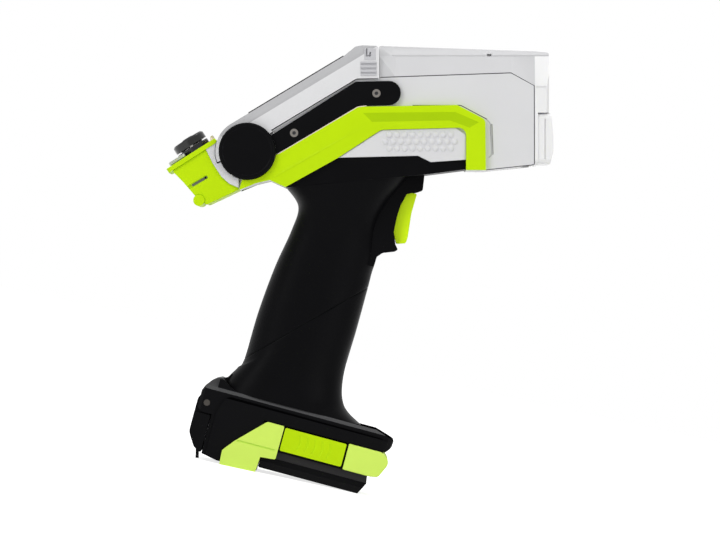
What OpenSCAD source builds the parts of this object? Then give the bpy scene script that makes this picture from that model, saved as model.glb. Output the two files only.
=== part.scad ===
// Handheld X-ray fluorescence analyzer in millimetres: a pistol grip with a tilting
// display, a keypad tail and a slide-in battery foot. It stands on its foot, nose along +X.

/* [Stance] */
// Nose-up angle of the body above the battery slab, degrees
stand_tilt = 15; // [0:1:25]
// Angle between the battery slab and the table when it rests on its rear feet, degrees
settle = 2.7; // [0:0.1:5]

/* [Body] */
// Half width of the two housing shells
body_half = 27; // [22:0.5:32]
// Shell wall thickness
wall = 2.2; // [1.6:0.1:3.5]
// Front face of the shells, ahead of the display hinge
nose_x = 149.7; // [120:0.1:170]
// How far the coloured bumper stands out from the shells
bumper_out = 3; // [1.5:0.1:4]
// How far the dimpled finger panel stands out
panel_out = 1.3; // [0.6:0.1:2]
// How far the side rail stands out
rail_out = 2.2; // [1:0.1:3]
// Diameter of one finger dimple
dimple_d = 3.4; // [2:0.1:4]
// Spacing of the finger dimples
dimple_pitch = 4; // [3.6:0.1:5]
// Thickness of the nose cap
cap_t = 7.4; // [5:0.1:9]
// Half width of the top band
band_half = 20.8; // [16:0.1:24]
// Side rail screw head diameter
screw_d = 4.3; // [3:0.1:5]

/* [Display] */
// Slope of the closed display, degrees
lid_slope = 31; // [20:1:40]
// How far the display frame stands out past each shell
lid_over = 2; // [1:0.1:4]
// Radius of the rounded hinge end of the display frame
barrel_r = 16.6; // [14:0.1:20]
// Underside of the display frame above the hinge line
lid_low = 3.1; // [2:0.1:5]
// Thickness of the cover glass
glass_t = 1.8; // [1:0.1:3]
// Thickness of the display panel
lcd_t = 3; // [2:0.1:4]
// Radius of the round hinge caps
disc_r = 14.8; // [10:0.1:16]
// Thickness of the round hinge caps
disc_t = 4; // [2:0.1:6]
// Radius of the fixed hinge core
core_r = 12.5; // [8:0.1:13]
// Radius of the hinge pin
hinge_pin_r = 3; // [2:0.1:5]
// Free space round the swinging hinge end
hinge_gap = 0.3; // [0.2:0.05:1]
// Radial running clearance of every pin
pin_gap = 0.05; // [0.02:0.01:0.1]

/* [Keypad] */
// Slope of the keypad, degrees
tail_slope = 32.5; // [20:0.5:45]
// Thickness of the keypad plate
plate_t = 2.4; // [1.5:0.1:4]
// Radius of the navigation pad
pad_r = 9; // [7:0.1:11]
// Height of the pad above its bezel
pad_t = 4.2; // [3:0.1:6]
// Free space under the navigation pad
pad_gap = 0.8; // [0.7:0.05:1.2]
// Key travel
key_travel = 0.6; // [0.3:0.1:1]
// Free space between the keys and the navigation pad
key_gap = 0.3; // [0.2:0.1:1.5]

/* [Grip] */
// Wall of the grip mouldings
grip_wall = 2.6; // [2:0.1:4]
// How much narrower the grip is in front than behind
grip_egg = 0.09; // [0:0.01:0.2]
// Half width of the trigger
trigger_half = 6.5; // [4:0.1:8]
// Half width of the block that holds the trigger
guard_half = 11; // [9:0.1:14]
// Radius of the trigger pin
trigger_pin_r = 1.5; // [1:0.1:2.5]
// Free space beside the trigger
trigger_gap = 0.3; // [0.15:0.05:0.6]

/* [Foot] */
// Half width of the foot housing
base_half = 24.6; // [22:0.1:28]
// Half width of the raised foot sides
side_half = 26.3; // [24:0.1:29]
// Height of the foot top face
base_top = 36.3; // [30:0.1:45]
// Height of the ceiling over the battery
bay_top = 26.1; // [20:0.1:30]
// Height of the housing's underside
base_low = -0.5; // [-0.5:0.1:2]
// Thickness of the ears that carry the port door
ear_t = 2.2; // [1.5:0.1:3]
// How far the battery case lies inside the raised foot sides
battery_inset = 0.3; // [0:0.1:2]
// Height of the battery slab
slab_h = 8; // [5:0.1:12]
// Height of the band above the slab
slab_band = 3.8; // [2:0.1:6]
// How far the coloured foot pieces stand out
foot_out = 2.2; // [1:0.1:3]
// Free space between battery and guides
battery_gap = 0.1; // [0.05:0.01:0.3]
// Radius of the port door pin
door_pin_r = 1.8; // [1:0.1:3]
// Radius of the port door knuckle
knuckle_r = 5.2; // [4:0.1:6]

/* [Hidden] */
$fn = 64;

white = [0.86, 0.86, 0.87];
pale_grey = [0.72, 0.72, 0.74];
lime = [0.78, 0.92, 0.05];
pale_lime = [0.80, 0.92, 0.40];
black = [0.08, 0.08, 0.09];
steel = [0.6, 0.6, 0.62];
board_green = [0.1, 0.35, 0.2];
copper = [0.72, 0.45, 0.2];

// The body frame has its origin on the display hinge line; the stand frame has z = 0 on the table.
centre_shift = 9.216;
gun_x = -75;
gun_z = 159;
ct = cos(stand_tilt);
st = sin(stand_tilt);
cl = cos(lid_slope);
sl = sin(lid_slope);
tail_x = -39.1;
tail_z = -10.2;
lid_half = body_half + lid_over;
battery_half = side_half - battery_inset;
nav_u = 15.2;
key_top = 9.9;
key_out = body_half - 8;
key_in = sqrt(pow(pad_r + key_gap, 2) - pow(nav_u - key_top, 2));
nav_side = (key_in + key_out) / 2;
ear_in = base_half - ear_t;
rest_x = 26.4;
slab_low = 1.5;
cheek_in = body_half - 0.8;
cheek_r = disc_r - 0.2;
swing_r = barrel_r + hinge_gap;
cradle_half = body_half + 0.5;
neck_x = -4.4;
flange_rise = 0.3711;
door_x = -61.5;
door_z = 27.2;
guide_low = bay_top - 3;
corner_relief = 2.8;
trigger_x = 7.2;
trigger_z = 161.4;
bay_x = -27.6;
far = 200;

function unit2(v) = v / norm(v);
function turn(a, b) = ((b - a + 540) % 360) - 180;
// One corner of an outline: its own point, or an arc when the point carries a radius.
function corner(a, b, c, n) = len(b) < 3 ? [b] : arc_at([a[0], a[1]], [b[0], b[1]], [c[0], c[1]], b[2], n);
function arc_at(a, b, c, r, n) =
  let(u = unit2(a - b), v = unit2(c - b), h = acos(u * v) / 2)
  let(o = b + unit2(u + v) * r / sin(h), p = b + u * r / tan(h) - o, q = b + v * r / tan(h) - o)
  let(s = atan2(p[1], p[0]), d = turn(s, atan2(q[1], q[0])))
  [for (i = [0 : n]) o + r * [cos(s + d * i / n), sin(s + d * i / n)]];
function rounded(p, n = 5) =
  [for (i = [0 : len(p) - 1]) each corner(p[(i + len(p) - 1) % len(p)], p[i], p[(i + 1) % len(p)], n)];
// A point along (t) and above (n) the closed display, in body coordinates.
function on_lid(t, n) = [t * cl - n * sl, t * sl + n * cl];
// A point of the body frame carried into the stand frame.
function up(p) = [p[0] * ct - p[1] * st + gun_x, p[0] * st + p[1] * ct + gun_z];
function sector(r, a, b) = concat([[0, 0]], [for (i = [0 : 24]) r * [cos(a + (b - a) * i / 24), sin(a + (b - a) * i / 24)]]);
function deck(x) = -3.4 + (x - 46.9) / 41.9 + wall;

// Height of the table under a point of the stand frame.
function table_z(x) = slab_low - (rest_x - x) * tan(settle);
// The stand frame, leaned back on the rear feet about the front edge of the battery slab.
module placed() {
  translate([centre_shift + rest_x, 0, 0]) rotate([0, settle, 0]) translate([-rest_x, 0, -slab_low]) children();
}
module body() {
  placed() translate([gun_x, 0, gun_z]) rotate([0, -stand_tilt, 0]) children();
}
module on_slope() {
  rotate([0, -lid_slope, 0]) children();
}
module on_tail() {
  translate([tail_x, 0, tail_z]) rotate([0, -tail_slope, 0]) children();
}
module across(y0, y1) {
  translate([0, y1, 0]) rotate([90, 0, 0]) linear_extrude(y1 - y0) children();
}
module along(x0, x1) {
  translate([x0, 0, 0]) rotate([90, 0, 90]) linear_extrude(x1 - x0) children();
}
// Prism between two distances from the middle plane, on the side given by s.
module flank(s, a, b) {
  across(s < 0 ? -b : a, s < 0 ? -a : b) children();
}
module rod(x, z, r, y0, y1) {
  translate([x, y1, z]) rotate([90, 0, 0]) cylinder(r = r, h = y1 - y0);
}
module plate(x, y, h, r) {
  linear_extrude(h) polygon(rounded([[x[0], y[0], r], [x[1], y[0], r], [x[1], y[1], r], [x[0], y[1], r]]));
}
module box(x, y, z) {
  translate([x[0], y[0], z[0]]) cube([x[1] - x[0], y[1] - y[0], z[1] - z[0]]);
}

// ---------- shells ----------
shell_pts = [on_lid(10, lid_low - 0.4), [56.8, 37.3], [68.7, 37.6], [68.7, 38.6], [137.5, 41],
  [nose_x, 34.2], [nose_x, -7, 2], [124.3, -10, 1], [113.9, -10], [113.9, -4.4], [95.5, -5.7], [88.8, -2.4],
  [46.9, -3.4], [19.9, -18.5], [11.8, -14.9], [4.5, -16.6], [neck_x, -19.8], [neck_x, -8], [0, 0]];
cavity_pts = [[24, 14], [57.5, 34.8], [137, 38.7], [nose_x - wall, 32.8], [nose_x - wall, -7.7],
  [116.2, -7.7], [116.2, -2.1], [95, -3.4], [89.2, -0.15], [46.4, deck(46.4)], [24, -13.6]];

module shell(s) {
  body() color(white) difference() {
    flank(s, 0, body_half) polygon(rounded(shell_pts));
    flank(s, -1, body_half - wall) polygon(cavity_pts);
    rod(0, 0, core_r, -far, far);
    across(-far, far) polygon(sector(swing_r, 34, 256));
    flank(s, cheek_in - 0.2, far) circle(r = cheek_r + hinge_gap);
    box([140, 160], [-10, 10], [-1, 15]);
    flank(s, body_half - 0.8, far) polygon([[126.2, 14.4], [127.5, 14], [128.2, -1.6], [126.9, -2]]);
    screw_holes(1.2, body_half - 1.5);
  }
}
module screw_holes(r, y) {
  for (s = [-1, 1], p = [[24.4, 9.5], [67.2, 30.1]]) {
    flank(s, y, far) translate(p) circle(r = r);
  }
}

// ---------- top cover, top rail and nose ----------
function top_z(x) = x < 137.5 ? 38.6 + (x - 68.7) * 2.4 / 68.8 : 41 - (x - 137.5) * 6.8 / 12.2;
function cover_ring(x, w, h, g) = [[x, -body_half + g, top_z(x)], [x, body_half - g, top_z(x)],
  [x, w - g, h - g], [x, -w + g, h - g]];
module skin(rings) {
  n = len(rings[0]);
  m = len(rings);
  polyhedron([for (r = rings) each r], concat(
    [[for (i = [0 : n - 1]) i]],
    [for (k = [0 : m - 2], i = [0 : n - 1]) [k * n + i, (k + 1) * n + i, (k + 1) * n + (i + 1) % n]],
    [for (k = [0 : m - 2], i = [0 : n - 1]) [k * n + i, (k + 1) * n + (i + 1) % n, k * n + (i + 1) % n]],
    [[for (i = [n - 1 : -1 : 0]) (m - 1) * n + i]]));
}
module top_cover() {
  body() color(white) difference() {
    skin([cover_ring(68.7, body_half - 1.5, 49.6, 0), cover_ring(77, band_half, 49.6, 0),
      cover_ring(137.5, band_half, 49.6, 0), cover_ring(nose_x, band_half, 49.6, 0)]);
    along(80, nose_x - 12) polygon([[-22, 30], [22, 30], [17.5, 47.4], [-17.5, 47.4]]);
  }
}
module top_rail() {
  body() color(pale_grey) difference() {
    intersection() {
      across(1.5 - body_half, body_half - 1.5) polygon(rounded([[68.7, 49.6], [157.1, 49.6], [157.1, 51.6, 1], [150, 52.3], [69.2, 55.1], [68.7, 54.6]]));
      union() {
        along(60, 170) polygon([[-band_half, 49], [band_half, 49], [band_half, 50.4], [18.6, 53], [16, 60], [-16, 60], [-18.6, 53], [-band_half, 50.4]]);
        skin([[[60, -26.4, 49], [60, 26.4, 49], [60, 24, 56], [60, -24, 56]],
          [[76.5, -band_half, 49], [76.5, band_half, 49], [76.5, 17.4, 56], [76.5, -17.4, 56]]]);
      }
    }
    for (s = [-1, 1]) {
      flank(s, band_half - 2.2, far) polygon([[124.8, 49], [127.2, 49], [127.2, 50.9], [124.8, 50.9]]);
    }
    box([88, 142], [-11, 11], [51.6, 60]);
  }
}
cap_yz = [[-body_half, -7, 3], [body_half, -7, 3], [body_half, 34.2], [band_half, 49.6], [-band_half, 49.6], [-body_half, 34.2]];
module nose_cap() {
  body() color(white) difference() {
    intersection() {
      along(nose_x, nose_x + cap_t) polygon(rounded(cap_yz));
      linear_extrude(far, center = true) polygon([[nose_x - 1, -30], [nose_x + 4.6, -30], [nose_x + cap_t, 2.4 - body_half], [nose_x + cap_t, body_half - 2.4], [nose_x + 4.6, 30], [nose_x - 1, 30]]);
    }
    box([nose_x + 1.6, 170], [-30, 30], [-20, 20.1]);
    box([140, 170], [-9, 9], [0, 14]);
    for (s = [-1, 1]) {
      flank(s, body_half - 0.6, far) polygon([[nose_x + 0.8, 33.1], [170, 33.1], [170, 33.9], [nose_x + 0.8, 33.9]]);
    }
    rod(153, 27, 3.2, -5, 5);
    translate([153.5, 0, 27]) rotate([0, 90, 0]) cylinder(r = 3.2, h = 10);
  }
}
module window_bracket() {
  body() color(pale_grey) difference() {
    intersection() {
      along(nose_x + 1.6, 160) polygon(rounded([[0.6 - body_half, -6.6, 3], [body_half - 0.6, -6.6, 3], [body_half - 0.6, 19.8, 2.5], [0.6 - body_half, 19.8, 2.5]]));
      across(-far, far) polygon(rounded([[nose_x + 1.6, -7], [157.6, -7, 1], [159.3, 0], [159.3, 8], [158.2, 19.9, 1], [nose_x + 1.6, 19.9]]));
    }
    translate([140, 0, 0]) along(0, 30) polygon(rounded([[-8, 1, 2], [8, 1, 2], [8, 13, 2], [-8, 13, 2]]));
    box([nose_x + 1.5, nose_x + 2.1], [-11, 11], [-2, 16]);
    for (s = [-1, 1]) {
      flank(s, body_half - 1.3, far) polygon([[154.6, -4], [155.4, -4], [155.4, 17], [154.6, 17]]);
      translate([156.8, s * 19, 7]) rotate([0, 90, 0]) cylinder(r = 2.1, h = 5);
      translate([nose_x + 4, s * 19, 7]) rotate([0, 90, 0]) cylinder(r = 1.1, h = 5);
    }
  }
}
module window_film() {
  body() color([0.75, 0.55, 0.2]) box([nose_x + 1.6, nose_x + 2.1], [-11, 11], [-2, 16]);
}
module window_screws() {
  body() color(steel) difference() {
    for (s = [-1, 1]) {
      translate([156.8, s * 19, 7]) rotate([0, 90, 0]) cylinder(r = 2.1, h = 2);
      translate([nose_x + 4, s * 19, 7]) rotate([0, 90, 0]) cylinder(r = 1.1, h = 3.6);
    }
    for (s = [-1, 1]) {
      translate([157.8, s * 19, 7]) rotate([0, 90, 0]) cylinder(r = 1.1, h = 3, $fn = 6);
    }
  }
}

// ---------- side dress ----------
module bumper(s) {
  body() color(lime) difference() {
    flank(s, body_half, body_half + bumper_out) polygon(rounded([[neck_x + 0.2, -20.2, 0.6], [4.5, -16.7], [11.7, -15, 2],
      [19.8, -18.7, 0.5], [47, -3.6], [69.6, 11.1, 5], [108.4, 12.3, 3], [113.8, 8.6, 2], [113.8, -9.8, 0.4], [124.1, -9.8, 1],
      [123.8, 16.4, 3], [109.2, 24, 3], [57.6, 23.1, 5], [15.6, -1.6], [0, -8], [neck_x + 0.2, -10]]));
    rod(0, 0, cheek_r + hinge_gap, -far, far);
    flank(s, body_half + bumper_out - 0.9, far) polygon([[59.5, 18.9], [111.8, 20.8], [121, 14.7], [121, -6], [118, -6], [117.4, 12.6], [110.6, 16.4], [65.3, 14.8], [24, -10.8], [22, -7.4]]);
  }
}
module panel(s) {
  body() color(white) union() {
    flank(s, body_half, body_half + panel_out) polygon(rounded([[48.2, -3.2], [69.8, 10.8, 5], [108.3, 12, 3],
      [113.6, 8.5, 2], [113.6, -4.4], [95.5, -5.5], [88.8, -2.2]]));
    for (row = [0 : 2]) {
      n = row == 1 ? 10 : 9;
      for (i = [0 : n - 1]) {
        translate([89.9 + (i - (n - 1) / 2) * dimple_pitch, s * (body_half + panel_out), 8.6 - row * 3.6])
          rotate([-90 * s, 0, 0]) cylinder(d1 = dimple_d, d2 = dimple_d * 0.6, h = 0.7, $fn = 20);
      }
    }
  }
}
module rail(s) {
  body() color(black) difference() {
    flank(s, body_half, body_half + rail_out) polygon(rounded([[6, 4.2], [56.4, 36.1, 3], [79.9, 36.7, 6.2], [79.9, 24.1, 6.2], [58.4, 23.5, 4], [15.7, -1.1], [4, -4]]));
    rod(0, 0, cheek_r + hinge_gap, -far, far);
    screw_holes(1.2, body_half - 1);
    screw_holes(screw_d / 2, body_half + rail_out - 1.3);
  }
}
module side_bumpers() {
  bumper(-1);
  bumper(1);
}
module finger_panels() {
  panel(-1);
  panel(1);
}
module side_rails() {
  rail(-1);
  rail(1);
}
module rail_screws() {
  body() color(steel) difference() {
    intersection() {
      union() {
        screw_holes(1.2, body_half - 1.5);
        screw_holes(screw_d / 2, body_half + rail_out - 1.3);
      }
      box([0, 100], [0.3 - body_half - rail_out, body_half + rail_out - 0.3], [0, 60]);
    }
    for (s = [-1, 1], p = [[24.4, 9.5], [67.2, 30.1]]) {
      flank(s, body_half + rail_out - 1.1, far) translate(p) circle(r = 1.1, $fn = 6);
    }
  }
}

// ---------- keypad tail ----------
module tail_housing() {
  body() color(lime) difference() {
    across(-body_half, body_half) polygon(rounded([[tail_x, tail_z, 1], [-21.5, 1], [-17.8, -6.5], [-13.4, -13.2],
      [-9.3, -16.9], [neck_x, -19], [neck_x, -20], [-20.9, -27.8, 2], [-25.1, -25.6, 2], [-33.2, -16.2, 4]]));
    across(2 - body_half, body_half - 2) polygon([[-36.9, -7.9], [-23.9, 0.4], [-20.4, -6.6], [-15.6, -14.6], [-19.8, -24.4], [-22, -22.6], [-34.4, -12]]);
    rod(-25.1, -25.5, 3, -far, far);
    slots();
  }
}
module slots() {
  for (s = [-1, 1]) {
    flank(s, body_half - 1.4, far) translate([-20.6, -13.1]) rotate(30.7)
      polygon(rounded([[-12, -0.95], [0, -0.95, 0.8], [0, 0.95, 0.8], [-12, 0.95]]));
  }
}
module strap_pin() {
  body() color(lime) rod(-25.1, -25.5, 3, -body_half - 0.6, body_half + 0.6);
}
module keypad_plate() {
  body() color(lime) difference() {
    on_tail() linear_extrude(plate_t) polygon(rounded([[-2, -body_half - 1, 2.5], [27.8, -body_half - 1], [27.8, body_half + 1], [-2, body_half + 1, 2.5]]));
    rod(0, 0, swing_r + 0.2, -far, far);
    on_tail() for (s = [-1, 1]) {
      translate([5.4, s * nav_side, -1]) cylinder(r = 2 + pin_gap, h = 9);
    }
  }
}
module keypad_board() {
  body() color(board_green) on_tail() box([3.6, 17.8], [3 - body_half, body_half - 3], [-1.6, 0]);
}
module warning_lens() {
  body() color([0.95, 0.75, 0.5]) on_tail() translate([0, 0, plate_t]) difference() {
    plate([24.4, 27.6], [-9, 9], 2.6, 1.2);
    translate([24.4, 0, 2.6]) rotate([0, 30, 0]) cube([3, 30, 3], center = true);
  }
}
nav_v = plate_t + 3.6;
module nav_bezel() {
  body() color(black) on_tail() translate([nav_u, 0, plate_t]) difference() {
    union() {
      difference() {
        cylinder(r = pad_r, h = 3.2);
        translate([0, 0, 1]) cylinder(r = pad_r - 1.6, h = 5);
      }
      for (s = [-1, 1]) {
        box([-1.7, 1.7], s < 0 ? [-6, -4.4] : [4.4, 6], [0.5, 5]);
      }
    }
    translate([0, 7, nav_v - plate_t]) rotate([90, 0, 0]) cylinder(r = 0.9 + pin_gap, h = 14);
  }
}
module nav_pivot() {
  body() color(steel) on_tail() translate([nav_u, 0, nav_v]) union() {
    translate([0, 6.2, 0]) rotate([90, 0, 0]) cylinder(r = 0.9, h = 12.4);
    translate([-6.2, 0, 0]) rotate([0, 90, 0]) cylinder(r = 0.9, h = 12.4);
    cylinder(r = 1.8, h = 2.4, center = true);
  }
}
pad_v = plate_t + 3.2 + pad_gap;
module nav_pad() {
  body() color(black) on_tail() translate([nav_u, 0, pad_v]) difference() {
    union() {
      difference() {
        rotate_extrude() polygon([[0, 2.2], [pad_r - 1.6, 2.2], [pad_r - 1.6, 0], [pad_r, 0], [pad_r, pad_t - 0.9], [pad_r - 0.9, pad_t], [0, pad_t - 0.3]]);
        translate([0, 0, pad_t - 1.6]) cylinder(r = 3.5, h = 5);
      }
      for (s = [-1, 1]) {
        box(s < 0 ? [-6, -4.4] : [4.4, 6], [-1.7, 1.7], [-1.8, 2.4]);
      }
    }
    translate([-7, 0, nav_v - pad_v]) rotate([0, 90, 0]) cylinder(r = 0.9 + pin_gap, h = 14);
    translate([0, 0, 1]) cylinder(r = 1.5 + pin_gap, h = 5);
    for (a = [0 : 90 : 270]) {
      rotate([0, 0, a]) translate([6.1, 0, pad_t - 0.8]) cylinder(r = 0.9, h = 3, $fn = 3);
    }
  }
}
module nav_select() {
  body() color(pale_grey) on_tail() translate([nav_u, 0, pad_v + pad_t]) union() {
    translate([0, 0, -0.7]) cylinder(r1 = 3.3, r2 = 2.9, h = 1.2);
    translate([0, 0, -1.8]) cylinder(r = 1.5, h = 1.4);
  }
}
module key(s) {
  body() color(white) on_tail() union() {
    translate([0, 0, plate_t + key_travel + 0.1]) plate([0.4, key_top], s < 0 ? [-key_out, -key_in] : [key_in, key_out], 1.6, 2);
    translate([5.4, s * nav_side, 0.9]) cylinder(r = 2, h = plate_t);
  }
}

// ---------- display hinge ----------
cradle_pts = [[-21.5, 1], [-16, 4.5], [-9, 0], [neck_x, -10], [neck_x, -19], [-9.3, -16.9], [-13.4, -13.2], [-17.8, -6.5]];
module hinge_cradle() {
  body() color(white) difference() {
    union() {
      difference() {
        across(-cradle_half, cradle_half) polygon(cradle_pts);
        rod(0, 0, swing_r, -far, far);
      }
      for (s = [-1, 1]) {
        flank(s, cradle_half + 0.2, lid_half - 0.1) intersection() {
          polygon(cradle_pts);
          polygon(sector(30, 203, 262));
        }
        flank(s, cradle_half - 0.3, cradle_half + 0.3) difference() {
          intersection() {
            polygon(cradle_pts);
            polygon(sector(30, 203, 262));
          }
          circle(r = swing_r);
        }
      }
    }
    rod(0, 0, cheek_r + hinge_gap, -far, far);
  }
}
module hinge_barrel() {
  body() color(pale_grey) difference() {
    rod(0, 0, core_r, 0.2 - cheek_in, cheek_in - 0.2);
    rod(0, 0, hinge_pin_r, -far, far);
  }
}
module hinge_pin() {
  body() color(steel) rod(0, 0, hinge_pin_r, 0.1 - lid_half, lid_half - 0.1);
}
lid_top = barrel_r;
glass_low = lid_top + 0.4 - glass_t;
lcd_low = glass_low - lcd_t;
module lid_frame() {
  body() color(white) difference() {
    intersection() {
      union() {
        across(-lid_half, lid_half) polygon(rounded([on_lid(0, lid_top), [50.6, 49.8], [56.3, 54.5, 2], [60, 55.1], [68.3, 54.7, 1.5],
          [68.3, 37.9, 0.6], [56.9, 37.8, 3], on_lid(10, lid_low), [0, 0]]));
        across(-lid_half, lid_half) polygon(sector(barrel_r, 38, 150));
        across(-cradle_half, cradle_half) polygon(sector(barrel_r, 140, 200));
        rod(0, 0, cheek_r, -lid_half, lid_half);
      }
      on_slope() along(-40, 110) polygon([[-lid_half, -30], [lid_half, -30], [lid_half, 12], [lid_half - 1.4, lid_top], [lid_half - 2.6, 22], [2.6 - lid_half, 22], [1.4 - lid_half, lid_top], [-lid_half, 12]]);
    }
    rod(0, 0, cheek_r, -cheek_in, cheek_in);
    across(-cheek_in, cheek_in) polygon(sector(swing_r + 2, 202, 398));
    rod(0, 0, hinge_pin_r + pin_gap, -far, far);
    on_slope() translate([0, 0, glass_low]) plate([10.6, 68.6], [3 - lid_half, lid_half - 3], 9, 3);
    on_slope() box([14, 66], [6 - lid_half, lid_half - 6], [lcd_low, glass_low + 1]);
    on_slope() box([20, 64], [8 - lid_half, lid_half - 8], [lid_low + 1, lcd_low + 1]);
    on_slope() box([18, 66], [6 - lid_half, lid_half - 6], [lid_low - 2, lid_low + 1.6]);
    for (s = [-1, 1]) {
      flank(s, lid_half - 1.2, far) polygon([[59, 39.3], [67.2, 39.3], [67.2, 46.6], [59, 46.6]]);
      flank(s, lid_half - 3, far) polygon([[60.9, 47.4], [66.8, 47.4], [66.8, 53.4], [60.9, 53.4]]);
    }
  }
}
module lid_back() {
  body() color(white) on_slope() box([18, 66], [6 - lid_half, lid_half - 6], [lid_low, lid_low + 1.6]);
}
module lcd_panel() {
  body() color([0.15, 0.2, 0.3]) on_slope() box([14, 66], [6 - lid_half, lid_half - 6], [lcd_low, glass_low]);
}
module display_glass() {
  body() color(black) on_slope() translate([0, 0, glass_low]) plate([10.6, 68.6], [3 - lid_half, lid_half - 3], glass_t, 3);
}
module disc(s) {
  body() color(black) translate([0, s * lid_half, 0]) rotate([-90 * s, 0, 0])
    rotate_extrude() polygon([[0, 0], [disc_r, 0], [disc_r, disc_t - 0.7], [disc_r - 0.7, disc_t], [disc_r - 1.9, disc_t], [disc_r - 2.3, disc_t - 0.25], [0, disc_t - 0.25]]);
}
module hinge_caps() {
  disc(-1);
  disc(1);
}
module lid_grips() {
  body() color(pale_grey) difference() {
    for (s = [-1, 1]) {
      flank(s, lid_half - 1.2, lid_half + 0.6) polygon([[59, 39.3], [67.2, 39.3], [67.2, 46.6], [59, 46.6]]);
      flank(s, lid_half - 3, lid_half + 0.2) polygon([[60.9, 47.4], [66.8, 47.4], [66.8, 53.4], [60.9, 53.4]]);
    }
    for (s = [-1, 1], z = [40.6, 42.9, 45.2]) {
      flank(s, lid_half - 0.3, far) polygon([[58, z - 0.5], [68, z - 0.5], [68, z + 0.5], [58, z + 0.5]]);
    }
    for (s = [-1, 1]) {
      flank(s, lid_half - 1.2, far) polygon([[61.7, 54], [61.7, 49.2], [64.4, 49.2], [64.4, 51.6], [63.6, 51.6], [63.6, 50], [62.5, 50], [62.5, 54]]);
    }
  }
}

// ---------- grip ----------
// Grip stations: rear x z, front x z, half width, squareness.
grip_keys = [[-50.6, 146, 9.5, 168.3, body_half - 0.1, 4.2], [-42.2, 138.2, 3.2, 153, 23, 3.1],
  [-42.5, 125, 1.4, 139.5, 20.4, 2.6], [-45.9, 104.6, 4.2, 124.5, 19.7, 2.5], [-48.2, 79.5, 4, 114, 19.8, 2.5],
  [-48.9, 53.9, 4.1, 106.8, 20.3, 2.5], [-51.1, 48.6, 4, 84, 20.7, 2.6], [-53.9, 43.8, 3.7, 58.5, 21.7, 2.7],
  [-55, 40.6, 8, 43.7, 22.8, 2.9], [-56, base_top, 19, base_top, 23.6, 3.2]];
parting = 5;
function blend(a, b, c, d, t) = b + (c - a) * t / 2 + (2 * a - 5 * b + 4 * c - d) * t * t / 2 + (3 * b - a - 3 * c + d) * t * t * t / 2;
function station(i) = let(k = min(floor(i), len(grip_keys) - 2), e = len(grip_keys) - 1)
  blend(grip_keys[max(k - 1, 0)], grip_keys[k], grip_keys[k + 1], grip_keys[min(k + 2, e)], i - k);
function pw(v, p) = sign(v) * pow(abs(v), 2 / p);
function grip_ring(i, w, n = 40) = let(s = station(i), r = [s[0], s[1]], f = [s[2], s[3]])
  let(o = (r + f) / 2, d = unit2(f - r), a = norm(f - r) / 2 - w)
  [for (j = [0 : n - 1]) let(q = j * 360 / n, c = pw(cos(q), s[5]), v = pw(sin(q), s[5]))
    [o[0] + a * c * d[0], (s[4] - w) * v * (1 - grip_egg * cos(q)), o[1] + a * c * d[1]]];
// A tube between outer and inner rings, closed by flat ring faces at both ends.
module tube(o, v) {
  n = len(o[0]);
  m = len(o);
  q = n * m;
  polyhedron(concat([for (r = o) each r], [for (r = v) each r]), concat(
    [for (k = [0 : m - 2], i = [0 : n - 1]) [k * n + i, (k + 1) * n + i, (k + 1) * n + (i + 1) % n]],
    [for (k = [0 : m - 2], i = [0 : n - 1]) [k * n + i, (k + 1) * n + (i + 1) % n, k * n + (i + 1) % n]],
    [for (k = [0 : m - 2], i = [0 : n - 1]) [q + k * n + i, q + (k + 1) * n + (i + 1) % n, q + (k + 1) * n + i]],
    [for (k = [0 : m - 2], i = [0 : n - 1]) [q + k * n + i, q + k * n + (i + 1) % n, q + (k + 1) * n + (i + 1) % n]],
    [for (i = [0 : n - 1]) [i, (i + 1) % n, q + (i + 1) % n]],
    [for (i = [0 : n - 1]) [i, q + (i + 1) % n, q + i]],
    [for (i = [0 : n - 1]) [q - n + i, 2 * q - n + (i + 1) % n, q - n + (i + 1) % n]],
    [for (i = [0 : n - 1]) [q - n + i, 2 * q - n + i, 2 * q - n + (i + 1) % n]]));
}
module grip_tube(a, b) {
  tube([for (i = [a : 1 / 3 : b + 0.01]) grip_ring(i, 0)], [for (i = [a : 1 / 3 : b + 0.01]) grip_ring(i, grip_wall)]);
}
module handle_upper() {
  placed() color(black) difference() {
    grip_tube(0, parting);
    box([-6, 40], [-guard_half, guard_half], [118, 190]);
  }
}
module handle_lower() {
  placed() color(black) grip_tube(parting, 9);
}
module grip_flange() {
  placed() color(black) difference() {
    across(-body_half, body_half) polygon([up([19.9, -18.5]), up([46.9, -3.4]), up([88.8, -2.4]), up([95.5, -5.7]), up([113.8, -4.4]),
      up([113.8, -9.4]), [17.4, 146 + 68 * flange_rise], [-50.6, 146]]);
    box([-30, -5], [-12, 12], [140, 190]);
  }
}
module trigger_guard() {
  placed() color(black) difference() {
    across(-guard_half, guard_half) polygon(rounded([[-6, 146 + 44.6 * flange_rise], [17.4, 146 + 68 * flange_rise], [18.6, 163.2, 1],
      [16.1, 161.5], [11, 159.3, 1.5], [9.4, 152.4, 6], [9.1, 145.6, 6], [9.6, 138.3, 4], [12.1, 132.2, 1.5], [14.1, 129.9, 0.8],
      [12.7, 128.5, 0.8], [6.8, 126.2, 2], [4.4, 123.4, 1], [4.1, 118], [-6, 118]]));
    across(-trigger_half - trigger_gap, trigger_half + trigger_gap) polygon([[-4, 131.4], [30, 131.4], [30, 161.3], [15, 161.3], [15, 164.8], [3, 164.8], [-4, 158]]);
    rod(trigger_x, trigger_z, trigger_pin_r, 1.5 - guard_half, guard_half - 1.5);
  }
}
module trigger_pin() {
  placed() color(steel) rod(trigger_x, trigger_z, trigger_pin_r, 1.5 - guard_half, guard_half - 1.5);
}
module trigger_switch() {
  placed() color([0.2, 0.2, 0.25]) union() {
    box([-4, 1], [-5, 5], [141, 151]);
    box([1, 2.8], [-1.5, 1.5], [144.5, 147.5]);
  }
}
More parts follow.
